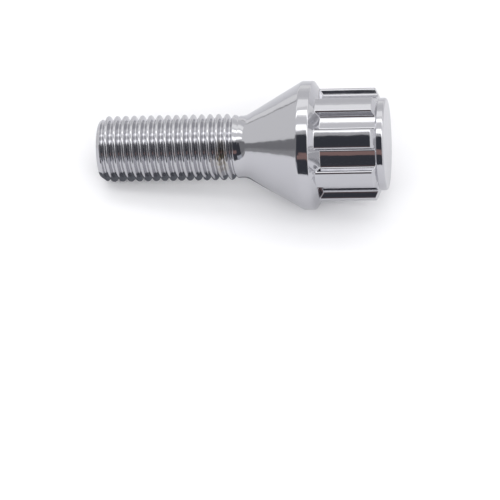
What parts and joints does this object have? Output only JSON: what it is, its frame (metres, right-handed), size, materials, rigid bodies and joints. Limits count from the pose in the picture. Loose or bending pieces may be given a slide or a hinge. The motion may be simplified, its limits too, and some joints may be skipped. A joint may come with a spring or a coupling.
{
  "type": "locking wheel bolt",
  "caption": "Chrome-plated locking wheel bolt with a splined drive head, a round collar, a 60 degree cone seat and a metric shank, standing on the flat end of its head.",
  "frame": {"origin": "centre of the flat end face of the head, on which the bolt stands", "axes": "+Z along the bolt's axis from the head to the tip of the thread, +X through the middle of one rib of the head"},
  "size_m": [0.0224, 0.0224, 0.0504],
  "materials": {
    "chrome_plate": "polished"
  },
  "bodies": {
    "root": {"bolt": "chrome_plate"}
  },
  "joints": []
}
